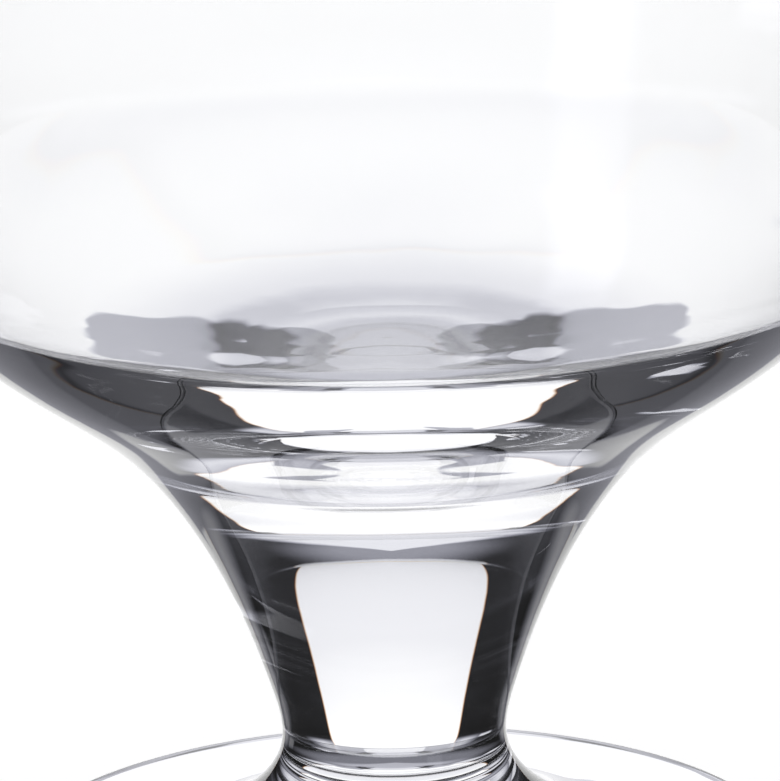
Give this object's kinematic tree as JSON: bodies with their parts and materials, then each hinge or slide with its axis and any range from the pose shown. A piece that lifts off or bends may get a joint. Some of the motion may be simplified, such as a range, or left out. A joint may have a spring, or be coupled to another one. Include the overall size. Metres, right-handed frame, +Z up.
{
  "type": "champagne glass",
  "caption": "Clear champagne coupe: a wide open bowl flows into a short solid stem with a narrow waist and a thin round foot, for serving sparkling wine.",
  "frame": {"origin": "on the table, under the middle of the foot", "axes": "+Z up along the glass's axis; the glass is round, so +X and +Y are free, and +Y points away from the picture's camera"},
  "size_m": [0.0882, 0.0882, 0.0826],
  "materials": {
    "bowl_glass": "clear polished",
    "stem_glass": "clear polished",
    "foot_glass": "clear polished"
  },
  "bodies": {
    "root": {"bowl": "bowl_glass", "stem": "stem_glass", "foot": "foot_glass"}
  },
  "joints": []
}
